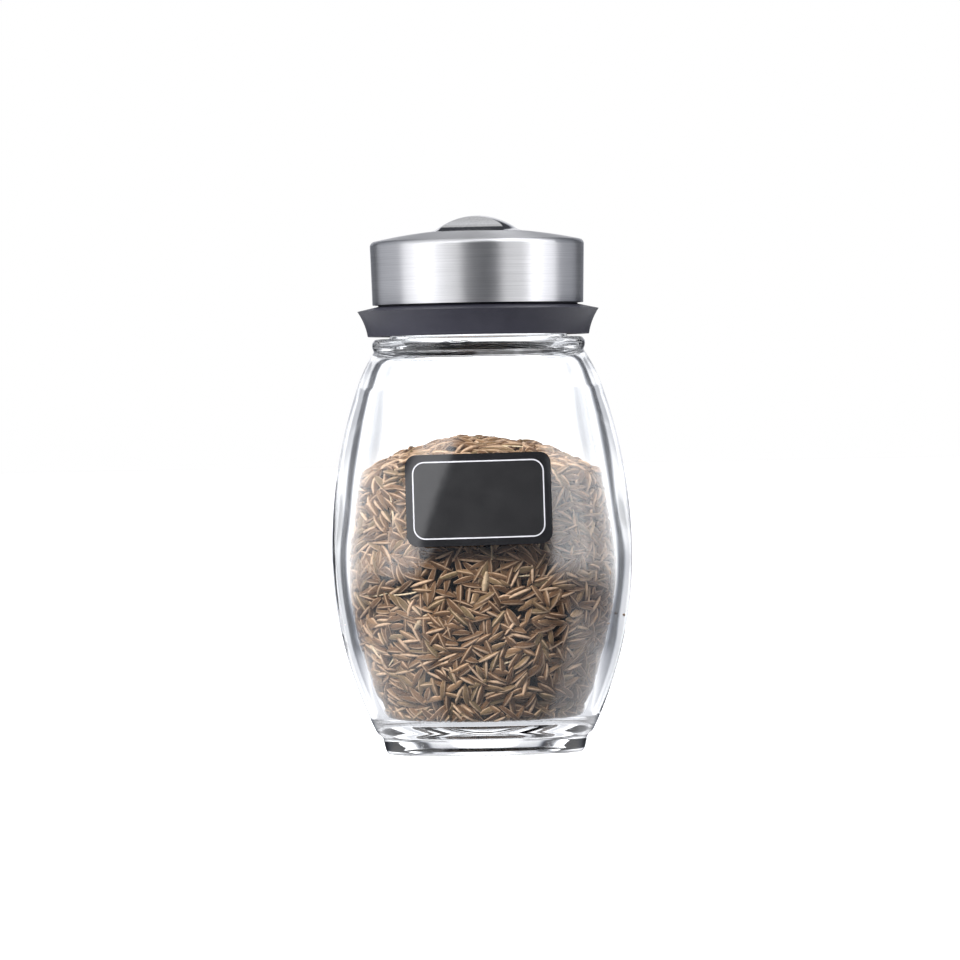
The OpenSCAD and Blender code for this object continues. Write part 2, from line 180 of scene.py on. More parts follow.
def insideRadius(z, inset=0.0):
    low = lowerC[0] + math.sqrt((wallR - inset) ** 2 - (z - lowerC[1]) ** 2)
    return min(low, wallBend[0] + (z - wallBend[1]) * wallSlope - inset)


def meet(a, ra, b, rb):
    d = np.linalg.norm(b - a)
    along = (d * d + ra * ra - rb * rb) / (2 * d)
    across = math.sqrt(ra * ra - along * along)
    way = (b - a) / d
    return a + along * way + across * np.array([way[1], -way[0]])


wallR = barrelShape["lower"] - barrelShape["wall"]
wallBend = (lowerC[0] + math.sqrt(wallR ** 2 - (barrelShape["bendZ"] - lowerC[1]) ** 2), barrelShape["bendZ"])
wallSlope = (barrelShape["wallTop"][0] - wallBend[0]) / (barrelShape["wallTop"][1] - wallBend[1])
roundC = meet(lowerC, wallR - barrelShape["floorRound"], floorC, barrelShape["floorCurve"] - barrelShape["floorRound"])


def bearing(centre, point):
    return math.degrees(math.atan2(point[1] - centre[1], point[0] - centre[0]))


# glass jar

glassSettings = {"steps": 288, "ior": 1.52, "wave": 0.07, "waveScale": 38, "knurls": 84, "knurlDepth": 0.35, "markDepth": 0.22,
                 "threadPitch": 4.2, "threadHeight": 1.05, "threadHalf": 0.95, "threadLow": 82.6, "threadHigh": 88.2}


def glassOutline():
    heelC = np.array([20.05, 4.6])
    heelTurn = bearing(lowerC, heelC)
    puntR = (15.5 ** 2 + 1.6 ** 2) / 3.2
    top = math.degrees(math.asin((barrelShape["shoulderTop"] - shoulderC[1]) / barrelShape["shoulder"]))
    turn = math.degrees(shoulderTurn)
    bendTurn = bearing(lowerC, wallBend)
    points = arc((0, 1.6 - puntR), puntR, 90, 90 - math.degrees(math.asin(15.5 / puntR)), 24)
    points += [(17.0, 0)] + arc((18.4, 0.9), 0.9, -90, 0, 8)
    points += [(19.9, 3.6)] + arc(heelC, 1.0, -90, heelTurn, 10)
    points += arc(lowerC, barrelShape["lower"], heelTurn, 0, 60)[1:]
    points += arc(upperC, barrelShape["upper"], 0, turn, 50)[1:]
    points += arc(shoulderC, barrelShape["shoulder"], turn, top, 20)[1:]
    points += [(20.2, 77.9)] + arc((19.85, 78.55), 0.75, -80, 0, 8) + arc((19.85, 79.55), 0.75, 0, 90, 8)
    points += [(17.0, 80.3), (16.9, 90.3)] + arc((16.2, 90.3), 0.7, 0, 90, 8)
    points += arc((15.7, 90.3), 0.7, 90, 180, 8)
    topR, topZ = barrelShape["wallTop"]
    bend = soften([(topR, topZ)] + arc(lowerC, wallR, bendTurn, -16, 40), 0.3, 300)
    bend = [tuple(p) for p in bend if p[1] < topZ - 8]
    inside = [(15.0, 90.2), (15.0, 78.5), (15.5, 77.7), (17.3, 76.8), (18.6, 75.0), (topR, topZ)]
    points += [tuple(p) for p in soften(inside, 0.3, 14)] + bend[:-20]
    points += arc(lowerC, wallR, bearing(lowerC, bend[-14]), bearing(lowerC, roundC), 60)
    points += arc(roundC, barrelShape["floorRound"], bearing(lowerC, roundC), bearing(floorC, roundC), 16)[1:]
    points += arc(floorC, barrelShape["floorCurve"], bearing(floorC, roundC), -90, 24)[1:]
    return thin(soften(points, 0.3, 5), 3.0, 1.6, lambda p: p[0] > 15.8 and 80.8 < p[1] < 90.4)


def shapeGlass(bm):
    s = glassSettings
    for vert in bm.verts:
        x, y, z = vert.co / mm
        r, turn = math.hypot(x, y), math.atan2(y, x)
        if r < 0.01:
            continue
        change = 0
        if r > 16.5 and s["threadLow"] - 2 < z < s["threadHigh"] + 2:  # screw thread on the neck
            turns = (z - s["threadLow"]) / s["threadPitch"] - turn / (2 * math.pi)
            off = (turns - round(turns)) * s["threadPitch"]
            start = z - off
            fade = min(max((start - s["threadLow"]) / 0.5 + 1, 0), max((s["threadHigh"] - start) / 0.5 + 1, 0), 1)
            change = s["threadHeight"] * fade * max(0, 1 - (off / s["threadHalf"]) ** 2) ** 0.7
        elif r > 19.7 and 78 < z < 80.3:  # oval mould mark on the bead
            across, up = math.degrees(turn + math.pi / 2) + 11.5, z - 79.25
            change = -s["markDepth"] * max(0, 1 - (across / 8.0) ** 2 - (up / 0.7) ** 2) ** 0.5
        elif z < 0.05 and 15.2 < r < 18.6:  # knurls that carry the foot
            vert.co.z += s["knurlDepth"] * mm * (0.5 - 0.5 * math.cos(s["knurls"] * turn)) * math.sin(
                math.pi * (r - 15.2) / 3.4)
        elif 7 < z < 79 and r < barrelRadius(min(z, 75), 1.2):  # uneven inside of blown glass
            place = Vector((x, y, z * 0.6)) / s["waveScale"]
            change = s["wave"] * (noise.noise(place * 2) + 0.5 * noise.noise(place * 5 + Vector((7, 3, 1))))
        vert.co.x += change * mm * x / r
        vert.co.y += change * mm * y / r


def makeGlassMaterial():
    material, tree, shader = newMaterial("clearGlass")
    shader.inputs["Base Color"].default_value = (0.985, 0.995, 0.995, 1)
    shader.inputs["Transmission Weight"].default_value = 1
    shader.inputs["IOR"].default_value = glassSettings["ior"]
    place = objectPlace(tree)
    smear = noiseNode(tree, place, 90, 2)
    tree.links.new(rangeNode(tree, smear, 0.35, 0.75, 0.0, 0.02), shader.inputs["Roughness"])
    ripple = noiseNode(tree, objectPlace(tree, (1, 1, 0.45)), 70, 1)
    tree.links.new(bumpNode(tree, ripple, 0.25, 0.0004), shader.inputs["Normal"])
    clear = addNode(tree, "BsdfTransparent", {"Color": (0.93, 0.95, 0.95, 1)})
    ray = addNode(tree, "LightPath").outputs["Is Shadow Ray"]
    output = tree.nodes["Material Output"]
    mix = addNode(tree, "MixShader", {0: ray, 1: shader.outputs[0], 2: clear.outputs[0]})
    tree.links.new(mix.outputs[0], output.inputs["Surface"])
    return material


glassBm = spun(glassOutline(), glassSettings["steps"])
shapeGlass(glassBm)
glassBody = makePiece("glassBody", glassBm, makeGlassMaterial(), "jar", 60)
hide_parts("glass_jar")
print("glass jar:", len(glassBody.data.polygons), "faces")


# write-on label

labelSettings = {"width": 27.8, "height": 17.5, "middle": 49.3, "corner": 2.2, "gap": 0.05, "thickness": 0.2,
                 "aside": -0.5, "tilt": -0.7, "lineInset": 1.35, "lineWidth": 0.24, "lineCorner": 2.3, "inkThickness": 0.015}


def roundedOutline(width, height, corner, step=0.6):
    points = []
    for k, (sx, sz) in enumerate(((1, 1), (-1, 1), (-1, -1), (1, -1))):
        points += arc((sx * (width / 2 - corner), sz * (height / 2 - corner)), corner, 90 * k, 90 * k + 90, 9)
    full = []
    for a, b in zip(points, points[1:] + points[:1]):
        cuts = max(int(math.dist(a, b) / step), 1)
        full += [(a[0] + (b[0] - a[0]) * i / cuts, a[1] + (b[1] - a[1]) * i / cuts) for i in range(cuts)]
    return full


def ontoBarrel(bm, offset):
    tilt = math.radians(labelSettings["tilt"])
    for vert in bm.verts:
        x, lift, z = vert.co / mm
        tx = x * math.cos(tilt) + z * math.sin(tilt) + labelSettings["aside"]
        tz = z * math.cos(tilt) - x * math.sin(tilt) + labelSettings["middle"]
        radius = barrelRadius(tz) + offset + lift
        vert.co = Vector((tx, -math.sqrt(radius ** 2 - tx ** 2), tz)) * mm


def slicedPlate(outline, step, thickness):
    bm = bmesh.new()
    face = bm.faces.new([bm.verts.new((x * mm, 0, z * mm)) for x, z in outline])
    made = bmesh.ops.extrude_face_region(bm, geom=[face])
    bmesh.ops.translate(bm, verts=[v for v in made["geom"] if isinstance(v, bmesh.types.BMVert)],
                        vec=(0, thickness * mm, 0))
    for axis, reach in ((0, max(p[0] for p in outline)), (2, max(p[1] for p in outline))):
        for k in range(int(-reach / step), int(reach / step) + 1):
            place, normal = Vector(), Vector()
            place[axis], normal[axis] = k * step * mm, 1
            bmesh.ops.bisect_plane(bm, geom=bm.verts[:] + bm.edges[:] + bm.faces[:], plane_co=place, plane_no=normal)
    return bm


def makeLabelMaterial():
    s = labelSettings
    material, tree, shader = newMaterial("labelVinyl")
    place = objectPlace(tree, move=(-s["aside"] * mm, 0, -s["middle"] * mm))
    parts = addNode(tree, "SeparateXYZ", {0: place})
    half = (s["width"] / 2 - s["lineInset"] - s["lineCorner"], s["height"] / 2 - s["lineInset"] - s["lineCorner"])
    across = mathNode(tree, "MAXIMUM", mathNode(tree, "SUBTRACT", mathNode(
        tree, "ABSOLUTE", parts.outputs[0]), half[0] * mm), 0)
    along = mathNode(tree, "MAXIMUM", mathNode(tree, "SUBTRACT", mathNode(
        tree, "ABSOLUTE", parts.outputs[2]), half[1] * mm), 0)
    off = mathNode(tree, "SQRT", mathNode(tree, "ADD", mathNode(tree, "POWER", across, 2), mathNode(
        tree, "POWER", along, 2)))
    inside = rangeNode(tree, off, (s["lineCorner"] - 0.1) * mm, (s["lineCorner"] + 0.1) * mm, 1, 0)
    cloud = noiseNode(tree, place, 260, 3)
    frameColour = rampNode(tree, cloud, [(0.3, (0.006, 0.006, 0.0065)), (0.8, (0.009, 0.009, 0.01))])
    panelColour = rampNode(tree, cloud, [(0.3, (0.010, 0.010, 0.0105)), (0.8, (0.014, 0.014, 0.0145))])
    tree.links.new(mixColour(tree, inside, frameColour, panelColour), shader.inputs["Base Color"])
    grain = noiseNode(tree, place, 2600, 2)
    tree.links.new(rangeNode(tree, grain, 0.3, 0.7, 0.06, 0.12), shader.inputs["Roughness"])
    tree.links.new(bumpNode(tree, noiseNode(tree, place, 420, 1), 0.08, 0.0002), shader.inputs["Normal"])
    shader.inputs["IOR"].default_value = 1.5
    return material


def makeInkMaterial():
    material, tree, shader = newMaterial("whiteInk")
    cloud = noiseNode(tree, objectPlace(tree), 900, 3)
    tree.links.new(rampNode(tree, cloud, [(0.3, (0.27, 0.27, 0.285)), (0.7, (0.34, 0.34, 0.36))]),
                   shader.inputs["Base Color"])
    shader.inputs["Roughness"].default_value = 0.4
    return material


s = labelSettings
labelBm = slicedPlate(roundedOutline(s["width"], s["height"], s["corner"]), 0.9, s["thickness"])
ontoBarrel(labelBm, s["gap"])
bmesh.ops.recalc_face_normals(labelBm, faces=labelBm.faces)
labelSticker = makePiece("labelSticker", labelBm, makeLabelMaterial(), "jar")
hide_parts("label")

lineBm = bmesh.new()
loops = []
for inset in (s["lineInset"], s["lineInset"] + s["lineWidth"]):
    outline = roundedOutline(s["width"] - 2 * inset, s["height"] - 2 * inset, s["lineCorner"] + s["lineInset"] - inset)
    ring = [lineBm.verts.new((x * mm, 0, z * mm)) for x, z in outline]
    loops.append([lineBm.edges.new(pair) for pair in zip(ring, ring[1:] + ring[:1])])
bmesh.ops.bridge_loops(lineBm, edges=loops[0] + loops[1])
made = bmesh.ops.extrude_face_region(lineBm, geom=lineBm.faces[:])
bmesh.ops.translate(lineBm, verts=[v for v in made["geom"] if isinstance(v, bmesh.types.BMVert)],
                    vec=(0, s["inkThickness"] * mm, 0))
ontoBarrel(lineBm, s["gap"] + s["thickness"])
bmesh.ops.recalc_face_normals(lineBm, faces=lineBm.faces)
labelLine = makePiece("labelLine", lineBm, makeInkMaterial(), "jar")
print("label:", len(labelSticker.data.polygons), "faces")


# cumin seeds

cuminSettings = {"count": 4200, "depth": 3.7, "heapZ": 60.2, "heapCurve": 49.0, "rounds": 75, "seed": 11,
                 "coreInset": 3.3, "places": (-2.25, -1.2, 0, 1.2, 2.25), "radii": (0.15, 0.46, 0.62, 0.46, 0.15),
                 "wallRadii": (0.3, 0.66, 0.9, 0.66, 0.3), "pieces": 4}


def heapHeight(x, y):
    bump = np.array([noise.noise(Vector((a, b, 3.1)) / 5.5) + 0.6 * noise.noise(Vector((a, b, 9.4)) / 2.4)
                     for a, b in zip(x, y)])
    curve = cuminSettings["heapCurve"]
    return cuminSettings["heapZ"] - curve + np.sqrt(curve ** 2 - np.minimum(x * x + y * y, 700)) + 0.9 * bump


def wallGap(points):
    r, z = np.hypot(points[:, 0], points[:, 1]), points[:, 2]
    gap = wallR - np.hypot(r - lowerC[0], z - lowerC[1])
    inward = lowerC - np.c_[r, z]
    lean = math.hypot(1, wallSlope)
    upper = (wallBend[0] + (z - wallBend[1]) * wallSlope - r) / lean
    blend = np.maximum(1 - np.abs(upper - gap) / 1.6, 0) ** 2 * 0.4  # the bend is rounded
    nearer = upper < gap
    gap, inward = np.where(nearer, upper, gap) - blend, np.where(nearer[:, None], (-1, wallSlope), inward)
    floor = barrelShape["floorCurve"] - np.hypot(r - floorC[0], z - floorC[1])
    toFloor = floorC - np.c_[r, z]
    corner = barrelShape["floorRound"] - np.hypot(r - roundC[0], z - roundC[1])
    toCorner = roundC - np.c_[r, z]
    nearer = floor < gap
    gap, inward = np.where(nearer, floor, gap), np.where(nearer[:, None], toFloor, inward)
    inCorner = (r > roundC[0]) & (z < roundC[1] + 0.5 * (r - roundC[0])) & (corner < gap)
    gap, inward = np.where(inCorner, corner, gap), np.where(inCorner[:, None], toCorner, inward)
    inward = inward / np.maximum(np.linalg.norm(inward, axis=1), 1e-9)[:, None]
    out = np.c_[points[:, :2] / np.maximum(r, 1e-6)[:, None], np.zeros(len(r))]
    return gap, np.c_[out[:, :2] * inward[:, :1], inward[:, 1]]


def closePairs(points, size):
    cells = np.floor(points / size).astype(np.int64) + 64
    code = (cells[:, 0] * 512 + cells[:, 1]) * 512 + cells[:, 2]
    order = np.argsort(code, kind="stable")
    ranked = code[order]
    first, second = [], []
    for dx in (-1, 0, 1):
        for dy in (-1, 0, 1):
            for dz in (-1, 0, 1):
                wanted = code + (dx * 512 + dy) * 512 + dz
                start = np.searchsorted(ranked, wanted, "left")
                count = np.searchsorted(ranked, wanted, "right") - start
                a = np.repeat(np.arange(len(points)), count)
                b = order[np.repeat(start - np.r_[0, np.cumsum(count)[:-1]], count) + np.arange(count.sum())]
                keep = a < b
                first.append(a[keep])
                second.append(b[keep])
    return np.concatenate(first), np.concatenate(second)


def settleSeeds():
    s = cuminSettings
    rng = np.random.default_rng(s["seed"])
    centres = np.zeros((0, 3))
    while len(centres) < s["count"]:
        tries = rng.uniform((-26, -26, 6), (26, 26, 62), (20000, 3))
        tries = tries[heapHeight(tries[:, 0], tries[:, 1]) - tries[:, 2] > 0.4]
        gap = wallGap(tries)[0]
        top = heapHeight(tries[:, 0], tries[:, 1]) - tries[:, 2]
        tries = tries[(gap > 0.6) & (np.minimum(gap, top) < s["depth"])]
        centres = np.r_[centres, tries]
    centres = centres[:s["count"]]
    gap, inward = wallGap(centres)
    top = heapHeight(centres[:, 0], centres[:, 1]) - centres[:, 2]
    normal = np.where((top < gap)[:, None], (0, 0, -1), inward)
    side = np.cross(normal, rng.normal(size=normal.shape))
    side /= np.linalg.norm(side, axis=1)[:, None]
    side[:, 2] *= 0.75
    tilt = np.where((top < 1.6) & (top < gap), 0.45, 0.22)
    way = side + normal * (rng.normal(0, 1, len(side)) * tilt)[:, None]
    way /= np.linalg.norm(way, axis=1)[:, None]
    length = rng.uniform(0.86, 1.12, len(centres))
    reach = length[:, None] * s["places"]
    size = len(s["places"])
    radii = np.tile(s["radii"], len(centres))
    wallRadii = np.tile(s["wallRadii"], len(centres))
    owner = np.repeat(np.arange(len(centres)), size)
    for step in range(s["rounds"]):
        balls = (centres[:, None] + way[:, None] * reach[:, :, None]).reshape(-1, 3)
        if step % 4 == 0:
            a, b = closePairs(balls, 1.25)
            apart = owner[a] != owner[b]
            a, b = a[apart], b[apart]
        gapVector = balls[a] - balls[b]
        distance = np.maximum(np.linalg.norm(gapVector, axis=1), 1e-6)
        overlap = np.maximum(radii[a] + radii[b] - distance, 0)
        push = gapVector / distance[:, None] * (overlap * 0.45)[:, None]
        hits = np.bincount(a, overlap > 0, len(balls)) + np.bincount(b, overlap > 0, len(balls))
        share = 1 / np.maximum(hits, 1) ** 0.5
        for axis in range(3):
            balls[:, axis] += share * (np.bincount(a, push[:, axis], len(balls)) - np.bincount(
                b, push[:, axis], len(balls)))
        gap, inward = wallGap(balls)
        if step % 4 == 0 or step > s["rounds"] - 4:
            top = heapHeight(balls[:, 0], balls[:, 1]) - balls[:, 2]
        nearest = np.minimum(gap, top)
        lean = np.clip(nearest - wallRadii, 0, 0.05)
        balls -= inward * (lean * (gap < top) * 0.6)[:, None]  # seeds lean on the glass
        balls[:, 2] += np.where(top <= gap, lean * 0.5, 0) - np.maximum(radii * 0.6 - top, 0) * 0.5
        balls -= inward * (np.maximum(nearest - s["depth"], 0) * 0.3)[:, None]
        gap, inward = wallGap(balls)
        balls += inward * np.maximum(wallRadii + 0.05 - gap, 0)[:, None]
        rows = balls.reshape(-1, size, 3)
        centres = rows.mean(1)
        way = np.einsum("nkj,k->nj", rows, s["places"])
        way /= np.linalg.norm(way, axis=1)[:, None]
    pick = np.arange(len(centres))
    for _ in range(5):  # no seed may end up in the glass
        rows = centres[:, None] + way[:, None] * reach[:, :, None]
        gap, inward = wallGap(rows.reshape(-1, 3))
        short = np.maximum(wallRadii + 0.02 - gap, 0).reshape(-1, size)
        worst = short.argmax(1)
        centres += inward.reshape(-1, size, 3)[pick, worst] * short[pick, worst][:, None]
    return centres, way, length, rng


def seedTemplate(bend, stalk, fat, rng):
    bm = bmesh.new()
    rows = [(-2.45, 0.12), (-1.75, 0.42), (-0.75, 0.65), (0.35, 0.68), (1.35, 0.52), (2.2, 0.2)]
    if stalk == "beak":
        rows = rows[:5] + [(2.1, 0.17), (2.4, 0.08), (3.1, 0.05)]
    elif stalk == "straw":
        rows = [(-3.2, 0.1), (-1.5, 0.15), (0.5, 0.17), (2, 0.14), (3.4, 0.08)]
    rib = bm.verts.layers.float.new("rib")
    bmesh.ops.create_circle(bm, cap_ends=True, radius=rows[0][1], segments=10)
    face = bm.faces[:]
    last = rows[0]
    for row in rows[1:]:
        made = bmesh.ops.extrude_face_region(bm, geom=face)
        verts = [v for v in made["geom"] if isinstance(v, bmesh.types.BMVert)]
        bmesh.ops.delete(bm, geom=face, context="FACES_ONLY")
        bmesh.ops.translate(bm, verts=verts, vec=(0, 0, row[0] - last[0]))
        grow = row[1] / last[1]
        bmesh.ops.scale(bm, verts=verts, vec=(grow, grow, 1))
        face = [f for f in made["geom"] if isinstance(f, bmesh.types.BMFace)]
        last = row
    middle = rows[0][0]
    for vert in bm.verts:
        x, y, z = vert.co.x, vert.co.y, vert.co.z + middle
        spoke = round(math.atan2(y, x) / (2 * math.pi) * 10) % 2
        r = math.hypot(x, y)
        high = spoke if r > 0.15 else 0.4
        vert[rib] = high
        size = (1.0 + (0.11 if spoke else -0.11) * (r > 0.2)) * fat
        vert.co = Vector((x * size * 1.06 + bend * (z * z / 6 - 0.6), y * size * 0.88, z))
    bmesh.ops.recalc_face_normals(bm, faces=bm.faces)
    mesh = bpy.data.meshes.new("seed")
    bm.to_mesh(mesh)
    bm.free()
    mesh.attributes.new("tint", "FLOAT", "POINT")
    # per-seed painted shade level, set in pourSeeds
    mesh.attributes.new("paintedShade", "FLOAT", "POINT")
    return mesh


def makeCuminMaterial():
    material, tree, shader = newMaterial("cuminHusk")
    rib = addNode(tree, "Attribute", attribute_name="rib").outputs["Fac"]
    tint = addNode(tree, "Attribute", attribute_name="tint").outputs["Fac"]
    place = objectPlace(tree)
    grain = noiseNode(tree, place, 1500, 3)
    husk = rampNode(tree, tint, [(0.0, (0.06, 0.028, 0.013)), (0.3, (0.115, 0.057, 0.027)), (0.55, (0.175, 0.092, 0.046)),
                                 (0.78, (0.15, 0.102, 0.052)), (0.93, (0.29, 0.16, 0.084)), (1.0, (0.7, 0.56, 0.38))])
    pale = mixColour(tree, 0.68, husk, (0.74, 0.5, 0.34))
    ribbed = mixColour(tree, rangeNode(tree, rib, 0.5, 1.0, 0, 1), husk, pale)
    # painted shade: seeds deeper in the pile are darkened towards near-black, standing in for the shadow between seeds
    paintedShade = addNode(tree, "Attribute", attribute_name="paintedShade").outputs["Fac"]
    withPaintedShade = mixColour(tree, mathNode(tree, "MULTIPLY", paintedShade, 0.85), ribbed, (0.02, 0.011, 0.006))
    spotted = mixColour(tree, rangeNode(tree, grain, 0.4, 0.7, 0.0, 0.4), withPaintedShade, (0.06, 0.034, 0.017))
    tree.links.new(spotted, shader.inputs["Base Color"])
    shader.inputs["Specular IOR Level"].default_value = 0.3
    tree.links.new(rangeNode(tree, grain, 0.3, 0.7, 0.45, 0.7), shader.inputs["Roughness"])
    tree.links.new(bumpNode(tree, grain, 0.5, 0.0001), shader.inputs["Normal"])
    return material


# the core stands for the inner seeds; its near-black colour is painted shade for the gaps between the outer seeds
def makeCoreMaterial():
    material, tree, shader = newMaterial("cuminCorePaintedShade")
    cells = addNode(tree, "TexVoronoi", {"Vector": objectPlace(tree, (1, 1, 1.6)), "Scale": 520})
    tree.links.new(rampNode(tree, cells.outputs["Distance"], [(0.1, (0.012, 0.008, 0.005)), (0.6, (0.004, 0.003, 0.002))]),
                   shader.inputs["Base Color"])
    shader.inputs["Roughness"].default_value = 0.9
    shader.inputs["Specular IOR Level"].default_value = 0.05
    return material


def pourSeeds():
    s = cuminSettings
    centres, way, length, rng = settleSeeds()
    templates = [seedTemplate(bend, stalk, fat, rng) for bend, stalk, fat in (
        (0.0, "", 1.0), (0.12, "", 0.95), (0.25, "", 0.9), (0.32, "", 0.85), (-0.15, "", 1.03), (0.1, "beak", 0.95),
        (0.25, "beak", 0.9), (0.05, "", 0.75), (0.15, "straw", 1.0))]
    chances = np.array([0.2, 0.2, 0.16, 0.1, 0.15, 0.07, 0.04, 0.08, 0.02])
    picks = rng.choice(len(templates), len(centres), p=chances / chances.sum())
    for side in (-3.6, 3.6):  # the long ones only lie where they clear the glass
        picks[(wallGap(centres + way * side)[0] < 0.25) & ((picks == 5) | (picks == 6) | (picks == 8))] = 0
    spins = rng.uniform(0, 2 * math.pi, len(centres))
    tints = rng.beta(1.6, 1.9, len(centres))
    tints[picks == len(templates) - 1] = 1.0
    top = heapHeight(centres[:, 0], centres[:, 1]) - centres[:, 2]
    # painted shade: seeds more than 1.1 mm behind the glass or the heap top get darker the deeper they lie
    paintedShades = np.clip((np.minimum(wallGap(centres)[0], top) - 1.1) / 1.2, 0, 1)
    material = makeCuminMaterial()
    for part in range(s["pieces"]):
        bm = bmesh.new()
        for k in range(part, len(centres), s["pieces"]):
            template = templates[picks[k]].copy()
            for name, values in (("tint", tints), ("paintedShade", paintedShades)):
                level = np.full(len(template.vertices), values[k], np.float32)
                template.attributes[name].data.foreach_set("value", level)
            turn = Vector(way[k] * rng.choice((-1, 1))).to_track_quat("Z", "X").to_matrix().to_4x4()
            place = Matrix.Translation(Vector(centres[k]) * mm) @ turn @ Matrix.Rotation(spins[k], 4, "Z")
            template.transform(place @ Matrix.Diagonal((mm, mm, mm * length[k], 1)))
            bm.from_mesh(template)
            bpy.data.meshes.remove(template)
        piece = makePiece(f"cuminSeeds{part + 1}", bm, material, "jar", 80)
        print("cumin seeds", part + 1, ":", len(piece.data.polygons), "faces")
        yield piece


seedPieces = list(pourSeeds())
# the core body fills the pile under the seed shell, and its near-black material is painted shade
coreTop = cuminSettings["heapZ"] - cuminSettings["coreInset"]
coreCurve = cuminSettings["heapCurve"] - cuminSettings["coreInset"]
coreLow = barrelShape["floorZ"] + cuminSettings["coreInset"]
corePoints = [(0, coreLow)] + [(insideRadius(z, cuminSettings["coreInset"]), z) for z in np.linspace(coreLow + 1.2, 50.5, 24)]
corePoints += [(r, coreTop - coreCurve + math.sqrt(coreCurve ** 2 - r * r)) for r in np.linspace(18.5, 0, 12)]
cuminCore = makePiece("cuminCore", spun(soften(corePoints, 1.0, 3), 96), makeCoreMaterial(), "jar")
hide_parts("cumin_fill")
print("cumin core:", len(cuminCore.data.polygons), "faces")


# metal and plastics on the carried-over CAD nodes

def makeSteelMaterial():
    material, tree, shader = newMaterial("brushedSteel")
    place = addNode(tree, "TexCoord").outputs["Object"]
    parts = addNode(tree, "SeparateXYZ", {0: place})
    turn = mathNode(tree, "ARCTAN2", parts.outputs[1], parts.outputs[0])
    radius = mathNode(tree, "SQRT", mathNode(tree, "ADD", mathNode(tree, "POWER", parts.outputs[0], 2), mathNode(
        tree, "POWER", parts.outputs[1], 2)))
    brushed = addNode(tree, "CombineXYZ", {0: mathNode(tree, "MULTIPLY", turn, 1.2), 1: mathNode(
        tree, "MULTIPLY", parts.outputs[2], 9000), 2: mathNode(tree, "MULTIPLY", radius, 9000)}).outputs[0]
    lines = noiseNode(tree, brushed, 1.0, 2, 0.6)
    band = rangeNode(tree, radius, 9.6 * mm, 10.2 * mm, 0, 1)  # the grip in the middle is polished
    tone = rampNode(tree, lines, [(0.3, (0.54, 0.54, 0.55)), (0.7, (0.68, 0.68, 0.69))])
    tree.links.new(tone, shader.inputs["Base Color"])
    shader.inputs["Metallic"].default_value = 1
    rough = rangeNode(tree, lines, 0.3, 0.7, 0.32, 0.4)
    tree.links.new(mathNode(tree, "MULTIPLY_ADD", band, mathNode(tree, "SUBTRACT", rough, 0.13), 0.13),
                   shader.inputs["Roughness"])
    tree.links.new(mathNode(tree, "MULTIPLY", band, 0.9), shader.inputs["Anisotropic"])
    shader.inputs["Anisotropic Rotation"].default_value = 0.25
    tangent = addNode(tree, "Tangent", direction_type="RADIAL", axis="Z").outputs[0]
    tree.links.new(tangent, shader.inputs["Tangent"])
    depth = mathNode(tree, "MULTIPLY", lines, band)
    tree.links.new(bumpNode(tree, depth, 0.2, 0.00004), shader.inputs["Normal"])
    return material


def makePlasticMaterial(name, dark, light, roughness, gloss=0.5):
    material, tree, shader = newMaterial(name)
    place = objectPlace(tree)
    cloud = noiseNode(tree, place, 150, 3)
    tree.links.new(rampNode(tree, cloud, [(0.3, dark), (0.7, light)]), shader.inputs["Base Color"])
    grain = noiseNode(tree, place, 5200, 2)
    tree.links.new(rangeNode(tree, grain, 0.3, 0.7, roughness - 0.05, roughness + 0.05), shader.inputs["Roughness"])
    tree.links.new(bumpNode(tree, grain, 0.2, 0.00004), shader.inputs["Normal"])
    shader.inputs["Specular IOR Level"].default_value = gloss
    return material


def dress(node, material):
    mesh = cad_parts[node].data
    mesh.materials.clear()
    mesh.materials.append(material)
    for polygon in mesh.polygons:
        polygon.use_smooth = True


steel = makeSteelMaterial()
dress("steel_cover", steel)
dress("collar", makePlasticMaterial("collarPlastic", (0.013, 0.013, 0.019), (0.016, 0.016, 0.023), 0.45, 0.25))
innerPlastic = makePlasticMaterial("innerPlastic", (0.020, 0.020, 0.023), (0.028, 0.028, 0.031), 0.45)
dress("sifter_disc", innerPlastic)
dress("dial", innerPlastic)
dress("seal_ring", makePlasticMaterial("sealFoam", (0.62, 0.61, 0.57), (0.72, 0.71, 0.67), 0.8))
print("cap: steel, collar and inner pieces dressed")


# floor, light and camera

stageSettings = {"cameraDistance": 1.534, "cameraHeight": 0.0625, "targetHeight": 0.0528, "lens": 297.4, "roll": 1.0, "aside": -0.00018,
                 "floorGlow": 0.85, "darkRoom": 0.08,
                 "cardDistance": 0.5, "keyDistance": 0.8, "keySize": 0.32}


def makeFloor():
    bm = bmesh.new()
    bmesh.ops.create_circle(bm, cap_ends=True, radius=12, segments=96)
    mesh = bpy.data.meshes.new("floor")
    bm.to_mesh(mesh)
    bm.free()
    material, tree, shader = newMaterial("paleFloor")
    cloud = noiseNode(tree, objectPlace(tree), 3, 2)
    tone = rampNode(tree, cloud, [(0.3, (0.84, 0.84, 0.845)), (0.7, (0.87, 0.87, 0.875))])
    tree.links.new(tone, shader.inputs["Base Color"])
    tree.links.new(tone, shader.inputs["Emission Color"])
    shader.inputs["Emission Strength"].default_value = stageSettings["floorGlow"]
    shader.inputs["Roughness"].default_value = 0.6
    mesh.materials.append(material)
    floor = bpy.data.objects.new("floor", mesh)
    floor.visible_glossy = False
    bpy.context.scene.collection.objects.link(floor)
    floor.visible_transmission = False


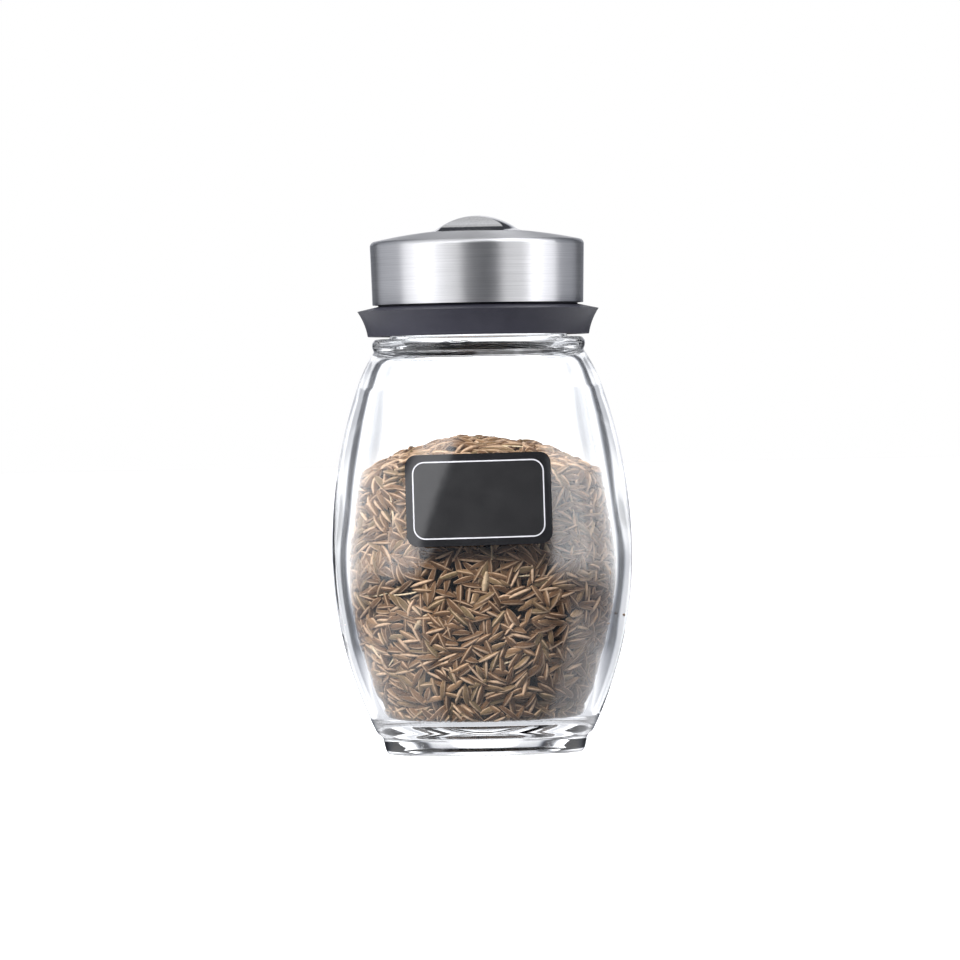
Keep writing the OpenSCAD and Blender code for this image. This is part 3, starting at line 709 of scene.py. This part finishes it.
def lightPanel(tree, turn, rise, strength, sides, heights, soft=4.0, lean=0.0):
    turn = mathNode(tree, "SUBTRACT", turn, mathNode(tree, "MULTIPLY", rise, lean))
    level = strength
    for value, (low, high) in ((turn, sides), (rise, heights)):
        for edge, first, last in ((low, 0, 1), (high, 1, 0)):
            step = addNode(tree, "MapRange", {0: value, 1: edge - soft, 2: edge + soft, 3: first, 4: last},
                           interpolation_type="SMOOTHSTEP").outputs[0]
            level = mathNode(tree, "MULTIPLY", level, step)
    return level


# Each light panel of the studio: strength, azimuths from the camera's side, heights, soft edge, lean
studioPanels = (
    (2.6, (-80, -49), (-5, 75), 4, 1.17),
    (0.4, (-137, -80), (-5, 75), 4, 0.0),
    (2.2, (58, 96), (-5, 75), 5, 0.0),
    (0.3, (96, 134), (-5, 75), 4, 0.0),
    (2.6, (24, 66), (34, 75), 6, 0.0),
    (1.4, (-180, -50), (-62, -13), 6, 0.0),
    (1.4, (76, 180), (-62, -13), 6, 0.0),
    (0.4, (-215, -152), (3, 26), 3, 0.0),
    (0.4, (152, 215), (3, 26), 3, 0.0),
    (0.5, (-192, -168), (-30, 26), 4, 0.0),
    (0.5, (168, 192), (-30, 26), 4, 0.0),
)
# What is seen besides through the glass
backdropPanels = (
    (1.9, (-138, -75), (-6, 75), 5, 0.0),
    (1.9, (62, 138), (-6, 75), 7, 0.0),
    (0.3, (-70, 60), (-75, 75), 8, 0.0),
    (0.7, (-200, 200), (-95, -22), 6, 0.0),
    (0.7, (-215, -153), (-75, 75), 2.5, 0.0),
    (0.7, (153, 215), (-75, 75), 2.5, 0.0),
    (0.6, (-205, -167), (-75, 75), 2.5, 0.0),
    (0.6, (167, 205), (-75, 75), 2.5, 0.0),
    (0.75, (-200, 200), (75, 95), 5, 0.0),
)
# Light cards that only the steel cover receives: azimuth, rise, width, height, strength
steelCards = ((-53, 12, 0.76, 0.9, 0.85), (-115, 12, 0.4, 0.9, 0.1), (50, 12, 0.46, 0.9, 0.85), (0, 84, 0.6, 0.6, 0.7))
# Key lights that shape the seeds: azimuth, rise, strength
keyLights = ((-34, 38, 44.0), (140, 36, 20.0), (-140, 36, 20.0))


def makeWorld():
    world = bpy.data.worlds.new("studio")
    world.use_nodes = True
    bpy.context.scene.world = world
    tree = world.node_tree
    tree.nodes.clear()
    way = addNode(tree, "TexCoord").outputs["Generated"]
    parts = addNode(tree, "SeparateXYZ", {0: way})
    ahead = mathNode(tree, "MULTIPLY", parts.outputs[1], -1)
    turn = mathNode(tree, "DEGREES", mathNode(tree, "ARCTAN2", parts.outputs[0], ahead))
    rise = mathNode(tree, "DEGREES", mathNode(tree, "ARCSINE", parts.outputs[2]))
    level = stageSettings["darkRoom"]
    for strength, sides, heights, soft, lean in studioPanels:
        level = mathNode(tree, "ADD", level, lightPanel(tree, turn, rise, strength, sides, heights, soft, lean))
    behind = level
    for strength, sides, heights, soft, lean in backdropPanels:
        behind = mathNode(tree, "ADD", behind, lightPanel(tree, turn, rise, strength, sides, heights, soft, lean))
    behind = mathNode(tree, "MINIMUM", behind, rangeNode(tree, rise, -16, -7, 0.8, 4))
    path = addNode(tree, "LightPath")
    bounced = rangeNode(tree, path.outputs["Diffuse Depth"], 0, 1, 0, 1)
    fill = rangeNode(tree, rise, -50, -5, 0.6, 0.08)
    behind = mathNode(tree, "MULTIPLY_ADD", bounced, mathNode(tree, "SUBTRACT", fill, behind), behind)
    level = mathNode(tree, "MULTIPLY_ADD", path.outputs["Is Transmission Ray"], mathNode(
        tree, "SUBTRACT", behind, level), level)
    tint = mixColour(tree, rangeNode(tree, level, 0.2, 1.0, 0, 1), (0.82, 0.87, 1.0), (0.96, 0.965, 1.0))
    light = addNode(tree, "Background", {"Color": tint, "Strength": level})
    plain = addNode(tree, "Background", {"Color": (1, 1, 1, 1), "Strength": 1.0})
    mix = addNode(tree, "MixShader", {0: path.outputs["Is Camera Ray"], 1: light.outputs[0], 2: plain.outputs[0]})
    addNode(tree, "OutputWorld", {"Surface": mix.outputs[0]})


def placeLight(name, turn, rise, distance, target, width, height, level):
    light = bpy.data.lights.new(name, "AREA")
    light.shape = "RECTANGLE"
    light.size, light.size_y = width, height
    light.energy = level * math.pi * width * height
    lamp = bpy.data.objects.new(name, light)
    turn, rise = math.radians(turn), math.radians(rise)
    way = Vector((math.sin(turn) * math.cos(rise), -math.cos(turn) * math.cos(rise), math.sin(rise)))
    lamp.location = Vector((0, 0, target)) + way * distance
    lamp.rotation_euler = way.to_track_quat("Z", "Y").to_euler()
    lamp.visible_camera = False
    bpy.context.scene.collection.objects.link(lamp)
    return lamp


def placeLights():
    s = stageSettings
    steelOnly = bpy.data.collections.new("steelOnly")
    steelOnly.objects.link(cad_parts["steel_cover"])
    for k, (turn, rise, width, height, level) in enumerate(steelCards):
        lamp = placeLight(f"steelCard{k + 1}", turn, rise, s["cardDistance"], 0.092, width, height, level)
        lamp.light_linking.receiver_collection = steelOnly
    for k, (turn, rise, level) in enumerate(keyLights):
        lamp = placeLight(f"keyLight{k + 1}", turn, rise, s["keyDistance"], 0.04, s["keySize"], s["keySize"], level)
        lamp.visible_glossy = False
        lamp.visible_transmission = False


def placeCamera():
    s = stageSettings
    camera = bpy.data.objects.new("camera", bpy.data.cameras.new("camera"))
    camera.data.lens, camera.data.sensor_width = s["lens"], 36
    camera.data.clip_start, camera.data.clip_end = 0.05, 50
    camera.location = (s["aside"], -s["cameraDistance"], s["cameraHeight"])
    way = Vector((s["aside"], 0, s["targetHeight"])) - camera.location
    facing = way.to_track_quat("-Z", "Y")
    camera.rotation_mode = "QUATERNION"
    camera.rotation_quaternion = facing @ Matrix.Rotation(math.radians(-s["roll"]), 4, "Z").to_quaternion()
    bpy.context.scene.collection.objects.link(camera)
    bpy.context.scene.camera = camera


makeFloor()
makeWorld()
placeLights()
placeCamera()
bpy.context.scene.view_settings.view_transform = "Standard"
bounces = bpy.context.scene.cycles  # light turns many times inside the thick glass of the base
bounces.max_bounces, bounces.glossy_bounces, bounces.transmission_bounces = 24, 16, 20
print("stage ready")

bpy.context.view_layer.update()
